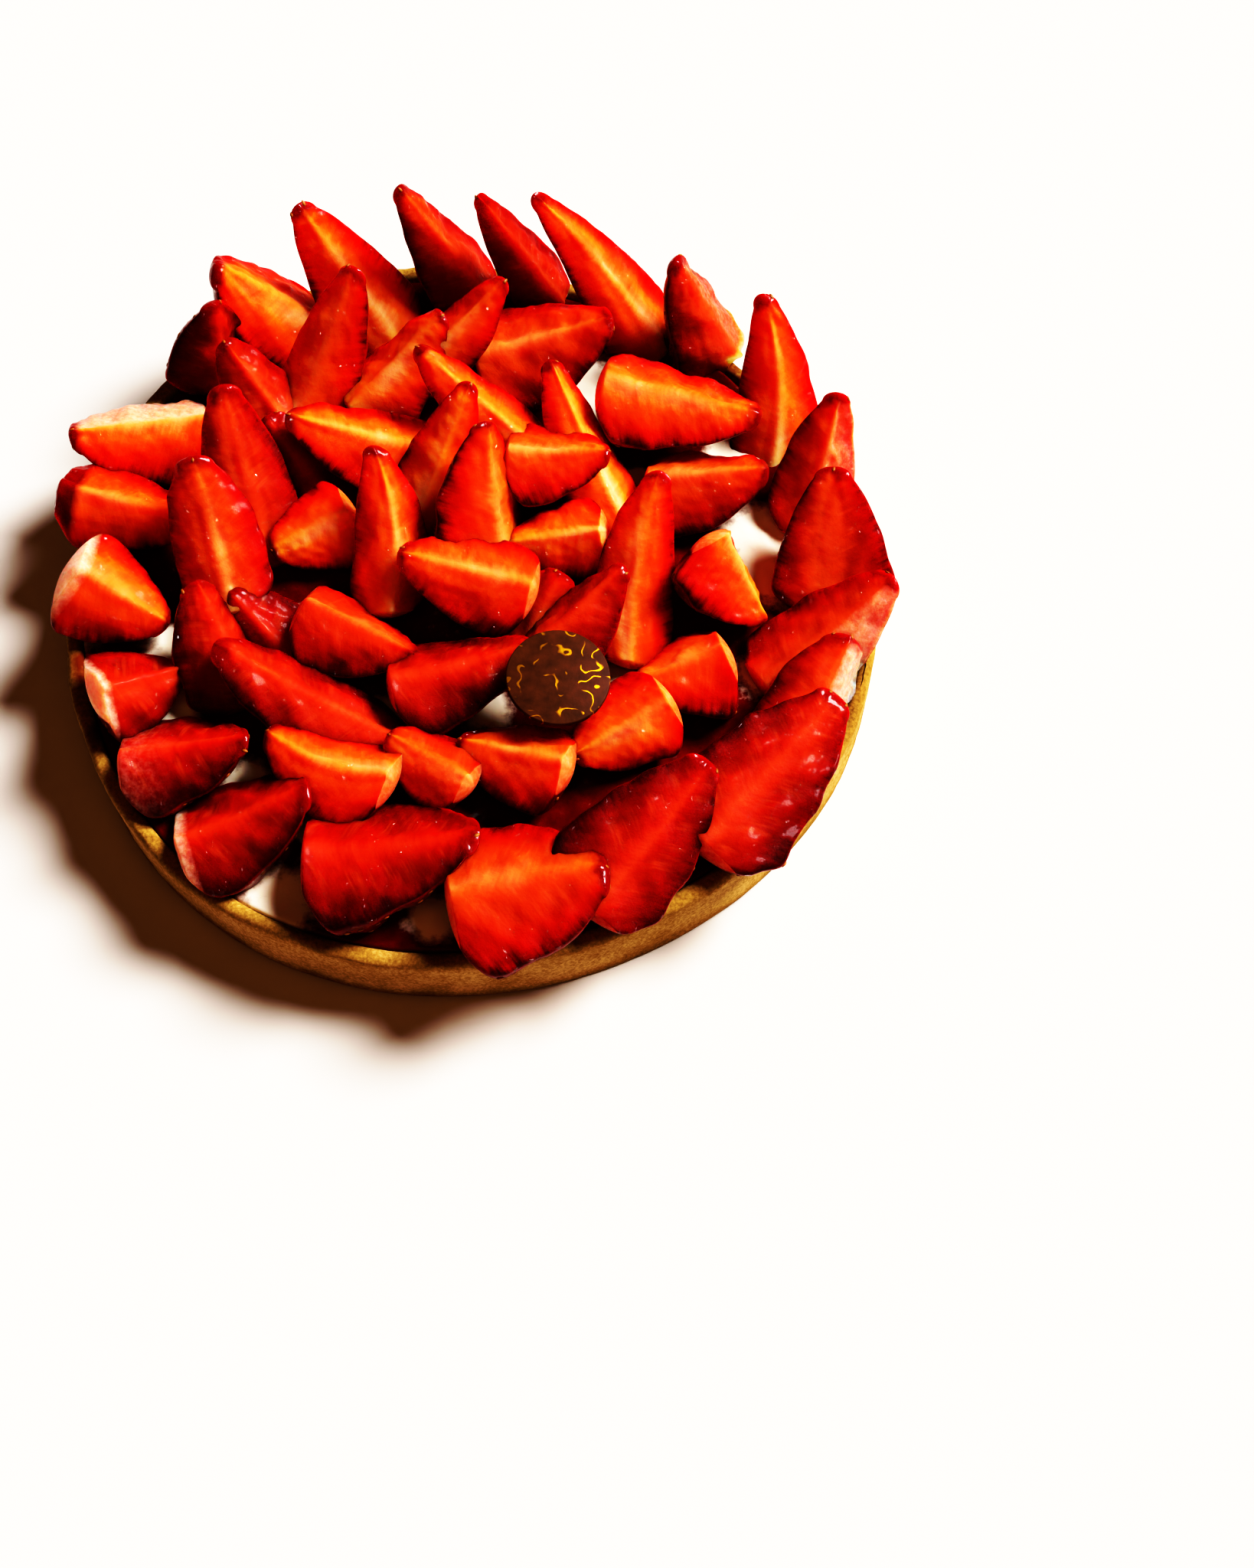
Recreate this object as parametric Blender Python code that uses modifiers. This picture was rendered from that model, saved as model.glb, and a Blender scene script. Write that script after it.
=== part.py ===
# Strawberry tart: a low shortcrust shell, a bed of whipped cream, cut strawberries heaped on it
# and one small chocolate disc. Values are in millimetres, and the scene is in metres.

import math

import bmesh
import bpy
from mathutils import Matrix, Vector, noise

MM = 0.001
GAP = 0.3                  # clearance between pieces that touch
SPIN_STEPS = 64            # facets round the shell and the cream

# Crust: baked in a straight-sided ring, 200 mm across and 20 mm high.
CRUST_RADIUS = 100.0
CRUST_HEIGHT = 20.0
WALL = 4.0                 # thickness of the side
FLOOR = 4.0                # thickness of the bottom
RIM_ROUND = 1.6            # rounding of the rim
FOOT_ROUND = 1.2           # rounding where the side meets the bottom
OUTLINE_WAVES = ((2, -0.0025, -0.0169), (3, 0.0186, -0.0046))   # uneven circle: order, cos, sin

# Cream: spread a few millimetres below the rim, with low swells.
CREAM_LEVEL = 17.0
CREAM_SWELL = 1.4
SWELL_LENGTH = 34.0
CREAM_RINGS = (14, 28, 42, 56, 70, 83, 91)
SKIRT = 5.0                # how far cutters reach below the floor
LEDGE_REACH = 40.0         # how far the rim's cutter reaches outwards

# Chocolate disc, lying on three berries near the front.
DISC_RADIUS = 12.2
DISC_THICKNESS = 1.6
DISC_CENTRE = (24.0, -33.8, 35.0)
DISC_TILT = (3.0, 4.0)     # degrees about X and Y
DISC_SIDES = 40

# Berry outline: share of the radius against the share of the length from the stem end.
STATIONS = (0.0, 0.09, 0.22, 0.46, 0.71, 0.91, 1.0)
WIDEST = 0.22              # where a berry is widest
STEM_SHARE = 0.66          # radius at the cut stem end
TIP_POWER = 0.62           # how blunt the last stretch is
FACET = 19.0               # degrees of skin in one facet
LUMPS = 0.05               # unevenness of the skin, as a share of the radius
LUMP_LENGTH = 16.0
GROW = 0.45                # swelling of a cutter at its corners, which gives the gap on its faces

# Each cut piece: name, stem end of its ridge, tip, radius, roll, sector, fullness, bow.
# The ridge is the berry's own axis, where the two cut faces meet. The skin faces down at roll 0
# and to the left, seen from stem to tip, at a positive roll. Sector is the angle between the cut
# faces: about 95 is a quarter, 165 and more a half. Fullness 1 is a cone, 3 is blunt. Bow is
# how far the middle of the ridge stands to the left.
BERRIES = (
    ("back_1", (-62, 57, 22), (-62, 66, 46), 17.5, 42, 95, 1.3, 0),
    ("back_2", (-45, 44, 23), (-61, 60, 40), 14.5, -5, 95, 1.6, 0),
    ("back_3", (-38, 81, 23), (-63, 80, 46), 20.0, -5, 95, 2.0, 0),
    ("back_4", (-20, 73, 20), (-43, 93, 52), 19.5, -20, 95, 1.0, 0),
    ("back_5", (6, 87, 22), (-17, 95, 56), 15.5, -15, 95, 1.0, 0),
    ("back_6", (24, 87, 21), (3, 94, 54), 12.5, -25, 95, 1.1, 0),
    ("back_7", (51, 72, 19), (17, 93, 56), 16.0, -15, 95, 0.9, -2),
    ("back_8", (71, 69, 20), (53, 77, 50), 18.0, -5, 95, 1.2, 0),
    ("right_1", (77, 34, 18), (74, 68, 48), 16.5, 0, 95, 1.1, -3),
    ("right_2", (85, 14, 20), (92, 39, 46), 15.0, 15, 95, 1.6, 0),
    ("right_3", (90, -8, 22), (90, 22, 40), 15.0, -5, 170, 1.4, 0),
    ("right_4", (73, -29, 24), (104, -5, 34), 18.0, 10, 100, 1.5, 0),
    ("right_5", (81, -60, 24), (94, -20, 32), 17.5, 25, 95, 2.7, 2),
    ("front_1", (58, -71, 30), (89, -37, 33), 15.5, 15, 165, 1.5, 0),
    ("front_2", (33, -86, 30), (61, -54, 36), 15.0, 15, 165, 1.4, 0),
    ("front_3", (1, -88, 34), (36, -81, 35), 20.0, 0, 140, 1.9, 0),
    ("front_4", (-33, -73, 34), (7, -72, 36), 26.5, -15, 95, 1.3, 0),
    ("front_5", (-64, -70, 28), (-33, -60, 34), 21.5, -10, 95, 1.6, 0),
    ("left_1", (-78, -49, 30), (-48, -46, 31), 20.0, -10, 95, 1.5, 0),
    ("left_2", (-81, -36, 36), (-65, -26, 27), 17.0, 15, 95, 1.7, 0),
    ("left_3", (-89, -7, 40), (-70, -13, 24), 20.5, 10, 95, 1.3, 0),
    ("left_4", (-99, 22, 34), (-63, 13, 30), 16.5, 5, 95, 1.5, 0),
    ("left_5", (-66, 45, 30), (-99, 37, 34), 17.5, 0, 95, 2.3, 0),
    ("mid_1", (-48, 6, 21), (-59, 42, 46), 16.5, 5, 95, 1.9, 0),
    ("mid_2", (-56, -12, 28), (-65, 21, 46), 15.5, -10, 100, 2.8, 0),
    ("mid_3", (-47, -32, 23), (-61, -10, 40), 17.5, 25, 95, 1.9, 0),
    ("mid_4", (-15, -43, 26), (-56, -25, 38), 15.5, 10, 95, 2.6, 0),
    ("mid_5", (-15, -57, 33), (-44, -45, 32), 16.0, 0, 100, 1.7, 3),
    ("mid_6", (3, -57, 32), (-16, -45, 30), 14.0, 0, 100, 1.7, 0),
    ("mid_7", (-16, -30, 32), (18, -23, 34), 19.5, -10, 95, 1.3, 0),
    ("mid_8", (25, -54, 34), (0, -46, 29), 16.0, 0, 100, 1.7, 0),
    ("mid_9", (49, -39, 35), (27, -51, 29), 16.0, -14, 100, 1.7, 0),
    ("mid_10", (62, -23, 33), (42, -30, 28), 19.5, 10, 95, 1.4, 0),
    ("mid_11", (65, 4, 38), (75, -12, 24), 19.0, -35, 95, 1.7, 0),
    ("mid_12", (45, 27, 30), (75, 27, 33), 18.5, 0, 95, 1.5, 0),
    ("mid_13", (35, 49, 42), (74, 41, 36), 18.5, 0, 100, 1.6, 0),
    ("mid_14", (41, -23, 24), (48, 19, 43), 14.5, 5, 95, 1.9, 2),
    ("mid_15", (17, -21, 28), (39, -3, 36), 16.5, -10, 95, 1.2, 0),
    ("mid_16", (33, 8, 34), (10, 8, 28), 14.0, -20, 100, 1.7, 0),
    ("mid_17", (11, 28, 40), (36, 27, 40), 16.5, 0, 95, 1.5, 0),
    ("mid_18", (11, 4, 30), (7, 28, 50), 19.0, 35, 95, 1.4, 0),
    ("mid_19", (-13, 11, 26), (2, 41, 48), 14.0, 20, 95, 1.4, 0),
    ("mid_20", (-17, -10, 25), (-21, 24, 46), 14.5, 10, 95, 1.5, -3),
    ("mid_21", (-9, 32, 33), (-45, 41, 36), 16.5, -5, 100, 1.5, 0),
    ("mid_22", (-45, 47, 24), (-29, 77, 48), 15.0, 0, 100, 1.8, 0),
    ("mid_23", (-17, 55, 32), (9, 75, 46), 13.0, 5, 95, 1.6, 0),
    ("mid_24", (1, 62, 33), (36, 66, 42), 21.5, 10, 95, 1.6, 0),
    ("mid_25", (18, 32, 34), (-12, 54, 46), 12.5, -5, 95, 1.6, 0),
    ("mid_26", (40, 14, 26), (21, 53, 42), 14.0, 10, 95, 1.5, 0),
    ("mid_27", (-29, 15, 32), (-48, 7, 26), 15.0, -15, 110, 1.6, 0),
    ("mid_28", (17, -8, 35), (-15, 0, 37), 17.0, -10, 100, 1.7, 0),
    ("mid_29", (15, -16, 20), (24, -1, 29), 16.0, 15, 95, 1.9, 0),
    ("mid_30", (-36, -11, 34), (-10, -23, 28), 17.5, -10, 95, 1.5, 0),
    ("mid_31", (-31, 49, 28), (-7, 68, 42), 16.5, 0, 95, 1.6, 0),
    ("mid_32", (-30, 20, 20), (-51, 43, 32), 17.5, -15, 95, 1.9, 0),
    ("mid_33", (-36, -26, 20), (-56, -7, 30), 16.5, -15, 95, 1.9, 0),
)

# Colours as linear RGB with roughness.
CRUST_LOOK = ((0.50, 0.24, 0.06), 0.75)
CREAM_LOOK = ((0.90, 0.84, 0.72), 0.45)
BERRY_LOOK = ((0.62, 0.02, 0.01), 0.25)
CHOCOLATE_LOOK = ((0.07, 0.025, 0.015), 0.45)


def clear_scene():
    for obj in list(bpy.data.objects):
        bpy.data.objects.remove(obj, do_unlink=True)


def new_collection(name):
    collection = bpy.data.collections.new(name)
    bpy.context.scene.collection.children.link(collection)
    return collection


def new_material(name, look):
    colour, roughness = look
    material = bpy.data.materials.new(name)
    material.use_nodes = True
    shader = material.node_tree.nodes["Principled BSDF"]
    shader.inputs["Base Color"].default_value = (*colour, 1.0)
    shader.inputs["Roughness"].default_value = roughness
    shader.inputs["Metallic"].default_value = 0.0
    return material


def new_object(name, mesh, collection, material=None):
    obj = bpy.data.objects.new(name, mesh)
    collection.objects.link(obj)
    if material:
        mesh.materials.append(material)
    return obj


def settle(obj):
    """Replace the object's mesh by what its modifiers make of it."""
    depsgraph = bpy.context.evaluated_depsgraph_get()
    depsgraph.update()
    mesh = bpy.data.meshes.new_from_object(obj.evaluated_get(depsgraph))
    obj.modifiers.clear()
    old = obj.data
    obj.data = mesh
    bpy.data.meshes.remove(old)


def outline_factor(x, y):
    """Distance of the uneven shell outline from the centre, as a share of the radius."""
    angle = math.atan2(y, x)
    return 1.0 + sum(a * math.cos(n * angle) + b * math.sin(n * angle) for n, a, b in OUTLINE_WAVES)


def turned(name, profile, collection, material=None):
    """Turn a profile of (radius, height) about Z, then bend it to the shell's uneven outline."""
    mesh = bpy.data.meshes.new(name)
    points = [(r * MM, 0.0, z * MM) for r, z in profile]
    mesh.from_pydata(points, [(i, i + 1) for i in range(len(points) - 1)], [])
    obj = new_object(name, mesh, collection, material)
    screw = obj.modifiers.new("turn", "SCREW")
    screw.steps = SPIN_STEPS
    screw.render_steps = SPIN_STEPS
    screw.use_merge_vertices = True
    screw.merge_threshold = 0.00001
    settle(obj)
    for vertex in obj.data.vertices:
        factor = outline_factor(vertex.co.x, vertex.co.y)
        vertex.co.x *= factor
        vertex.co.y *= factor
    return obj


def corner(centre_r, centre_z, radius, start, end, steps=2):
    """Points of a rounded corner, with angles in degrees from the outward direction."""
    angles = [math.radians(start + (end - start) * i / steps) for i in range(steps + 1)]
    return [(centre_r + radius * math.cos(a), centre_z + radius * math.sin(a)) for a in angles]


def make_crust(collection, material):
    inner = CRUST_RADIUS - WALL
    rim_z = CRUST_HEIGHT - RIM_ROUND
    profile = [(0.0, FLOOR), (inner, FLOOR)]
    profile += corner(inner + RIM_ROUND, rim_z, RIM_ROUND, 180, 90)
    profile += corner(CRUST_RADIUS - RIM_ROUND, rim_z, RIM_ROUND, 90, 0)
    profile += corner(CRUST_RADIUS - FOOT_ROUND, FOOT_ROUND, FOOT_ROUND, 0, -90)
    profile += [(0.0, 0.0)]
    return turned("crust", profile, collection, material)


def swell(x, y):
    """Height of the cream's low swells, in millimetres."""
    return CREAM_SWELL * noise.noise(Vector((x, y, 3.7)) / (SWELL_LENGTH * MM))


def make_cream(collection, material, name="cream", lift=0.0, edge=GAP, bottom=FLOOR + GAP):
    outer = CRUST_RADIUS - WALL - edge
    level = CREAM_LEVEL + lift
    profile = [(0.0, level)] + [(r, level) for r in CREAM_RINGS]
    profile += [(outer, level), (outer, bottom), (0.0, bottom)]
    cream = turned(name, profile, collection, material)
    for vertex in cream.data.vertices:
        if vertex.co.z > (level - 1.0) * MM:
            vertex.co.z += swell(vertex.co.x, vertex.co.y) * MM
    return cream


def make_ledge(collection):
    """Cutter for everything that would lie in the crust's side or below its rim outside it."""
    inner = CRUST_RADIUS - WALL - GAP
    outer = CRUST_RADIUS + LEDGE_REACH
    top = CRUST_HEIGHT + GAP
    profile = [(inner, top), (outer, top), (outer, -SKIRT), (inner, -SKIRT), (inner, top)]
    return turned("rim_cutter", profile, collection)


def make_disc(collection, material, name="chocolate_disc", grow=0.0):
    bm = bmesh.new()
    radius = DISC_RADIUS + grow
    bmesh.ops.create_cone(bm, cap_ends=True, segments=DISC_SIDES, radius1=radius * MM,
                          radius2=radius * MM, depth=(DISC_THICKNESS + 2 * grow) * MM)
    mesh = bpy.data.meshes.new(name)
    bm.to_mesh(mesh)
    bm.free()
    disc = new_object(name, mesh, collection, material)
    disc.location = Vector(DISC_CENTRE) * MM
    disc.rotation_euler = [math.radians(a) for a in DISC_TILT] + [0.0]
    return disc


def berry_share(t, fullness):
    """Radius of a berry at share t of its length, as a share of its largest radius."""
    if t < WIDEST:
        return STEM_SHARE + (1.0 - STEM_SHARE) * (1.0 - (1.0 - t / WIDEST) ** 2)
    along = (t - WIDEST) / (1.0 - WIDEST)
    return max(0.0, 1.0 - along ** fullness) ** TIP_POWER


def berry_placement(stem, tip, roll):
    """Matrix whose X runs from stem to tip and whose Z points to the middle of the skin."""
    stem = Vector(stem) * MM
    axis = (Vector(tip) * MM - stem).normalized()
    up = (Vector((0, 0, 1)) - axis * axis.z).normalized()
    left = up.cross(axis)
    angle = math.radians(roll)
    depth = left * math.sin(angle) - up * math.cos(angle)
    side = depth.cross(axis)
    turn = Matrix((axis, side, depth)).transposed().to_4x4()
    return Matrix.Translation(stem) @ turn


def berry_mesh(name, row, seed, grow=0.0):
    """Spin a half outline through the piece's sector about the berry's axis, which is X here."""
    _, stem, tip, radius, roll, sector, fullness, bow = row
    length = (Vector(tip) - Vector(stem)).length
    bm = bmesh.new()
    on_axis = [bm.verts.new((t * length * MM, 0.0, 0.0)) for t in STATIONS[:-1]]
    on_skin = [bm.verts.new((t * length * MM, 0.0, radius * berry_share(t, fullness) * MM))
               for t in STATIONS[:-1]]
    tip_vertex = bm.verts.new((length * MM, 0.0, 0.0))
    for i in range(len(on_axis) - 1):
        bm.faces.new((on_axis[i], on_axis[i + 1], on_skin[i + 1], on_skin[i]))
    bm.faces.new((on_axis[-1], tip_vertex, on_skin[-1]))
    half = math.radians(sector) / 2
    bmesh.ops.rotate(bm, verts=bm.verts, cent=(0, 0, 0), matrix=Matrix.Rotation(-half, 3, "X"))
    bmesh.ops.spin(bm, geom=bm.verts[:] + bm.edges[:] + bm.faces[:], cent=(0, 0, 0),
                   axis=(1, 0, 0), angle=2 * half, steps=round(sector / FACET))
    bmesh.ops.remove_doubles(bm, verts=bm.verts, dist=0.00001)
    left_here = berry_placement(stem, tip, roll).to_3x3().inverted() @ Vector((0, 0, 1)).cross(
        Vector(tip) - Vector(stem)).normalized()
    for vertex in bm.verts:
        t = vertex.co.x / (length * MM)
        place = vertex.co / (LUMP_LENGTH * MM) + Vector((seed * 7.3, seed * 3.1, 0.0))
        swelling = 1.0 + LUMPS * noise.noise(place)
        vertex.co.y *= swelling
        vertex.co.z *= swelling
        vertex.co += left_here * (bow * MM * 4.0 * t * (1.0 - t))
    bmesh.ops.triangulate(bm, faces=bm.faces)
    bmesh.ops.recalc_face_normals(bm, faces=bm.faces)
    if grow:
        bm.normal_update()
        for vertex, normal in [(v, v.normal.copy()) for v in bm.verts]:
            vertex.co += normal * grow * MM
    mesh = bpy.data.meshes.new(name)
    bm.to_mesh(mesh)
    bm.free()
    return mesh


def make_berry(row, seed, collection, material=None, grow=0.0):
    name, stem, tip, roll = row[0], row[1], row[2], row[4]
    if grow:
        name += "_cutter"
    berry = new_object(name, berry_mesh(name, row, seed, grow), collection, material)
    berry.matrix_world = berry_placement(stem, tip, roll)
    return berry


def box_of(obj):
    corners = [obj.matrix_world @ v.co for v in obj.data.vertices]
    low = [min(c[i] for c in corners) for i in range(3)]
    high = [max(c[i] for c in corners) for i in range(3)]
    return low, high


def boxes_meet(a, b):
    return all(a[0][i] <= b[1][i] and b[0][i] <= a[1][i] for i in range(3))


def keep_largest(obj):
    """Drop the loose scraps that a cut leaves, and weld what it left closer than 0.01 mm."""
    bm = bmesh.new()
    bm.from_mesh(obj.data)
    bmesh.ops.remove_doubles(bm, verts=bm.verts, dist=0.00001)
    bm.verts.ensure_lookup_table()
    islands = []
    seen = set()
    for start in bm.verts:
        if start.index in seen:
            continue
        island = {start.index}
        stack = [start]
        while stack:
            vertex = stack.pop()
            for edge in vertex.link_edges:
                other = edge.other_vert(vertex)
                if other.index not in island:
                    island.add(other.index)
                    stack.append(other)
        seen |= island
        islands.append(island)
    largest = max(islands, key=lambda island: island_volume(bm, island))
    bmesh.ops.delete(bm, geom=[v for v in bm.verts if v.index not in largest], context="VERTS")
    bm.to_mesh(obj.data)
    bm.free()


def island_volume(bm, island):
    total = 0.0
    for face in bm.faces:
        if face.verts[0].index in island:
            first = face.verts[0].co
            for i in range(1, len(face.verts) - 1):
                total += first.dot(face.verts[i].co.cross(face.verts[i + 1].co)) / 6.0
    return abs(total)


def carve(obj, cutters):
    for cutter in cutters:
        cut = obj.modifiers.new("cut", "BOOLEAN")
        cut.operation = "DIFFERENCE"
        cut.object = cutter
    settle(obj)
    keep_largest(obj)


def height_of(row):
    return row[1][2] + row[2][2]


def main():
    clear_scene()
    tart = new_collection("strawberry_tart")
    cutters = new_collection("cutters")
    berry_material = new_material("strawberry", BERRY_LOOK)
    make_crust(tart, new_material("shortcrust", CRUST_LOOK))
    make_cream(tart, new_material("cream", CREAM_LOOK))
    make_disc(tart, new_material("chocolate", CHOCOLATE_LOOK))

    shared = [make_ledge(cutters),
              make_cream(cutters, None, "cream_cutter", GAP, 0.0, -SKIRT),
              make_disc(cutters, None, "disc_cutter", GAP)]

    # The highest pieces keep their whole form, and each lower one gives way to those above it.
    above = []
    order = sorted(enumerate(BERRIES), key=lambda item: -height_of(item[1]))
    for seed, row in order:
        berry = make_berry(row, seed, tart, berry_material)
        swollen = make_berry(row, seed, cutters, grow=GROW)
        bpy.context.view_layer.update()
        box = box_of(berry)
        meeting = [other for other, other_box in above if boxes_meet(box, other_box)]
        above.append((swollen, box_of(swollen)))
        carve(berry, shared + meeting)

    for swollen, _ in above:
        bpy.data.objects.remove(swollen, do_unlink=True)
    for cutter in cutters.objects:
        cutter.hide_render = True
        cutter.display_type = "WIRE"


main()
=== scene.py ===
# Strawberry tart: a baked shell, whipped cream, cut strawberries and a chocolate disc,
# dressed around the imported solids. Lengths in the dictionaries are in millimetres.
import math

import bpy
import numpy as np
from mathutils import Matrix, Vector


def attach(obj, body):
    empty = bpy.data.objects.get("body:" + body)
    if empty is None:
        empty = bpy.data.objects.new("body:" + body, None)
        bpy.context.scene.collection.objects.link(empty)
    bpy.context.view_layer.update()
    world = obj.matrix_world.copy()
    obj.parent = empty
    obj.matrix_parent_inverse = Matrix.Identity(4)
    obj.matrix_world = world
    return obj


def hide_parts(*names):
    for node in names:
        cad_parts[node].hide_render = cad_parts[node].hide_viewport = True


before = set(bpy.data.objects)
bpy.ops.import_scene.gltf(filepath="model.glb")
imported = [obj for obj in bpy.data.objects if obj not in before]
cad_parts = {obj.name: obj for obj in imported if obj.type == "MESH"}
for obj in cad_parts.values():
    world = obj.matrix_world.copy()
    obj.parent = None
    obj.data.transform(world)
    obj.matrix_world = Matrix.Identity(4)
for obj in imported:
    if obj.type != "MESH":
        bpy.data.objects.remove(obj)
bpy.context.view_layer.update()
mm = 0.001


# small tools

def addNode(tree, kind, inputs=None, **settings):
    node = tree.nodes.new(kind)
    for name, value in settings.items():
        setattr(node, name, value)
    for name, value in (inputs or {}).items():
        if isinstance(value, bpy.types.NodeSocket):
            tree.links.new(value, node.inputs[name])
        else:
            node.inputs[name].default_value = value
    return node


def colour(hexCode, alpha=1.0):
    parts = [int(hexCode[i:i + 2], 16) / 255 for i in (0, 2, 4)]
    linear = [c / 12.92 if c <= 0.04045 else ((c + 0.055) / 1.055) ** 2.4 for c in parts]
    return (*linear, alpha)


def fillRamp(node, stops):  # stops are (position, hex colour)
    elements = node.color_ramp.elements
    while len(elements) > 1:
        elements.remove(elements[-1])
    elements[0].position, elements[0].color = stops[0][0], colour(stops[0][1])
    for position, code in stops[1:]:
        elements.new(position).color = colour(code)


def newMaterial(name):
    material = bpy.data.materials.new(name)
    material.use_nodes = True
    return material, material.node_tree, material.node_tree.nodes["Principled BSDF"]


def softWaves(points, size, seed, count=9):  # smooth unevenness, roughly between -1 and 1
    rng = np.random.default_rng(seed)
    aim = rng.normal(size=(count, 3))
    aim /= np.linalg.norm(aim, axis=1)[:, None]
    aim *= (2 * math.pi / size * rng.uniform(0.6, 1.5, count))[:, None]
    phase = rng.uniform(0, 2 * math.pi, count)
    return np.sin(points @ aim.T + phase).sum(axis=-1) / math.sqrt(count)


def readPlaces(mesh):
    places = np.empty(len(mesh.vertices) * 3)
    mesh.vertices.foreach_get("co", places)
    return places.reshape(-1, 3)


def writePlaces(mesh, places):
    mesh.vertices.foreach_set("co", np.ascontiguousarray(places, dtype=float).ravel())
    mesh.update()


def addField(mesh, name, values):  # a vector stored on each vertex, which the materials read
    field = mesh.attributes.new(name, "FLOAT_VECTOR", "POINT")
    field.data.foreach_set("vector", np.ascontiguousarray(values, dtype=float).ravel())


def nameIt(name, material=None):
    piece = bpy.context.object
    piece.name = name
    piece.data.name = name
    if material:
        piece.data.materials.clear()
        piece.data.materials.append(material)
    return piece


def spunPiece(name, profile, steps, material):  # profile of (radius, height), turned about Z
    bpy.ops.object.select_all(action="DESELECT")
    bpy.ops.mesh.primitive_plane_add(size=1 * mm)
    piece = nameIt(name, material)
    bpy.ops.object.mode_set(mode="EDIT")
    bpy.ops.mesh.select_all(action="SELECT")
    bpy.ops.mesh.merge(type="CENTER")
    bpy.ops.transform.translate(value=(profile[0][0] * mm, 0, profile[0][1] * mm))
    for (r0, z0), (r1, z1) in zip(profile, profile[1:]):
        bpy.ops.mesh.extrude_region_move(
            TRANSFORM_OT_translate={"value": ((r1 - r0) * mm, 0, (z1 - z0) * mm)})
    bpy.ops.mesh.select_all(action="SELECT")
    bpy.ops.mesh.spin(steps=steps, angle=2 * math.pi, center=(0, 0, 0), axis=(0, 0, 1))
    bpy.ops.mesh.select_all(action="SELECT")
    bpy.ops.mesh.remove_doubles(threshold=0.02 * mm)
    bpy.ops.mesh.normals_make_consistent(inside=False)
    bpy.ops.object.mode_set(mode="OBJECT")
    bpy.ops.object.shade_smooth()
    return piece


# the shell

shell = {
    "radius": 100, "height": 20, "wall": 4, "floor": 4,
    "rimRound": 1.6, "footRound": 1.2,
    "waves": ((2, -0.0025, -0.0169), (3, 0.0186, -0.0046)),  # uneven circle: order, cos, sin
    "steps": 300,
    "swellMm": 26, "bakedSwell": 0.22,   # long unevenness of the side
    "lumpMm": 7, "lumpHeight": 0.07,
    "grainMm": 2.2, "grainHeight": 0.10,  # short unevenness, sandy dough
    "rimWaveMm": 30, "rimWave": 0.25, "rimLumpMm": 5, "rimLump": 0.08,
}


def outline(x, y):
    angle = np.arctan2(y, x)
    return 1 + sum(a * np.cos(n * angle) + b * np.sin(n * angle) for n, a, b in shell["waves"])


def bendToOutline(places):
    factor = outline(places[:, 0], places[:, 1])
    places[:, :2] *= factor[:, None]
    return places


def arc(centreR, centreZ, radius, start, end, steps):
    angles = [math.radians(start + (end - start) * i / steps) for i in range(steps + 1)]
    return [(centreR + radius * math.cos(a), centreZ + radius * math.sin(a)) for a in angles]


def stretch(start, end, step):  # points between two, both left out
    count = max(1, round(math.dist(start, end) / step))
    return [tuple(a + (b - a) * i / count for a, b in zip(start, end)) for i in range(1, count)]


def makeShell(material):
    outer, inner = shell["radius"], shell["radius"] - shell["wall"]
    rimZ = shell["height"] - shell["rimRound"]
    profile = [(0, shell["floor"]), (inner, shell["floor"])]
    profile += stretch((inner, shell["floor"]), (inner, rimZ), 2.5)
    profile += arc(inner + shell["rimRound"], rimZ, shell["rimRound"], 180, 90, 5)
    profile += arc(outer - shell["rimRound"], rimZ, shell["rimRound"], 90, 0, 5)
    profile += stretch((outer, rimZ), (outer, shell["footRound"]), 1.1)
    profile += arc(outer - shell["footRound"], shell["footRound"], shell["footRound"], 0, -90, 4)
    profile += stretch((outer - shell["footRound"], 0), (0, 0), 12) + [(0, 0)]
    piece = spunPiece("shell_baked", profile, shell["steps"], material)
    places = readPlaces(piece.data)
    level = places[:, 2].copy()
    distance = np.hypot(places[:, 0], places[:, 1])
    side = np.clip((distance / mm - inner + 1) / 2, 0, 1)
    lift = np.clip(level / mm / 3, 0, 1)
    swell = softWaves(places, shell["swellMm"] * mm, 11) * shell["bakedSwell"]
    swell += softWaves(places, shell["lumpMm"] * mm, 12, 16) * shell["lumpHeight"]
    swell += softWaves(places, shell["grainMm"] * mm, 13, 24) * shell["grainHeight"]
    push = (swell * side * lift * mm)[:, None]
    outward = places[:, :2] / np.maximum(distance, 1e-6)[:, None]
    sign = np.where(distance / mm > inner + shell["wall"] / 2, 1.0, -1.0)[:, None]
    places[:, :2] += outward * push * sign
    top = np.clip((level / mm - rimZ) / shell["rimRound"], 0, 1)
    rim = softWaves(places * (1, 1, 0), shell["rimWaveMm"] * mm, 14) * shell["rimWave"]
    rim += softWaves(places, shell["rimLumpMm"] * mm, 15, 16) * shell["rimLump"]
    places[:, 2] += top * side * mm * rim
    writePlaces(piece.data, bendToOutline(places))
    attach(piece, "root")
    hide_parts("crust")
    return piece


# shortcrust pastry, baked blind in a ring: matt, sandy, golden brown with darker toasted edges

crustLook = {
    "pale": "E0BE84", "golden": "AE8A4A", "toasted": "66481C", "stainAndShade": "6C3014",
    "grainMm": 0.8, "patchMm": 14, "roughness": 0.92,
}


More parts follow.
